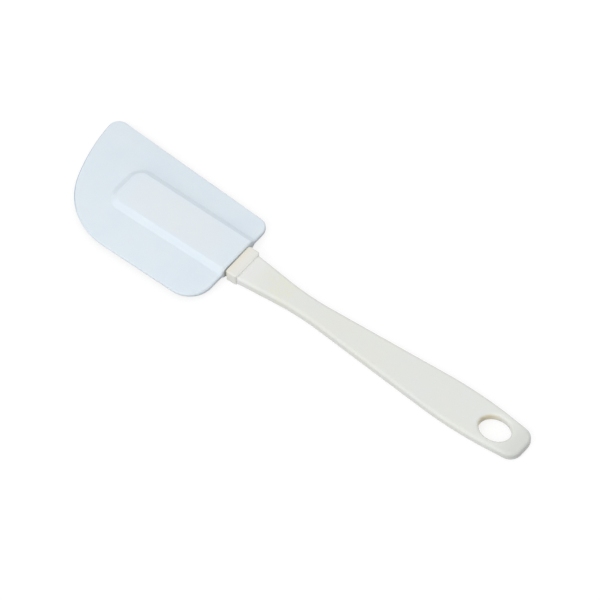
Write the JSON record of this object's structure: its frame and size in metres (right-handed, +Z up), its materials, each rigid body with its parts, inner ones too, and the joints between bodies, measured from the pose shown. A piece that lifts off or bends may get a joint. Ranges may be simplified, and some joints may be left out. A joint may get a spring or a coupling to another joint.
{
  "type": "silicone spatula",
  "caption": "Kitchen scraper spatula with a wide flexible silicone blade on a ribbed stiffening tang, a short collar and a flat waisted plastic handle with an oval hanging hole.",
  "frame": {"origin": "centre of the overall box, on the surface that the spatula lies on", "axes": "+X along the length from the scraping edge to the hanging end, +Y towards the blade's straight side with the small tip corner, +Z up, square to the blade's faces"},
  "size_m": [0.25, 0.0575, 0.0066],
  "materials": {
    "silicone": "satin, bluish white, slightly translucent moulded silicone",
    "insert_plastic": "satin warm cream moulded nylon",
    "handle_plastic": "satin cream white moulded polypropylene"
  },
  "bodies": {
    "grip": {"handle": "handle_plastic", "tang_insert": "insert_plastic"},
    "head": {"blade": "silicone"}
  },
  "joints": [
    {"name": "blade_pull_off", "type": "slide", "parent": "grip", "child": "head", "axis": [-1, 0, 0], "range_m": [0, 0.064]}
  ]
}
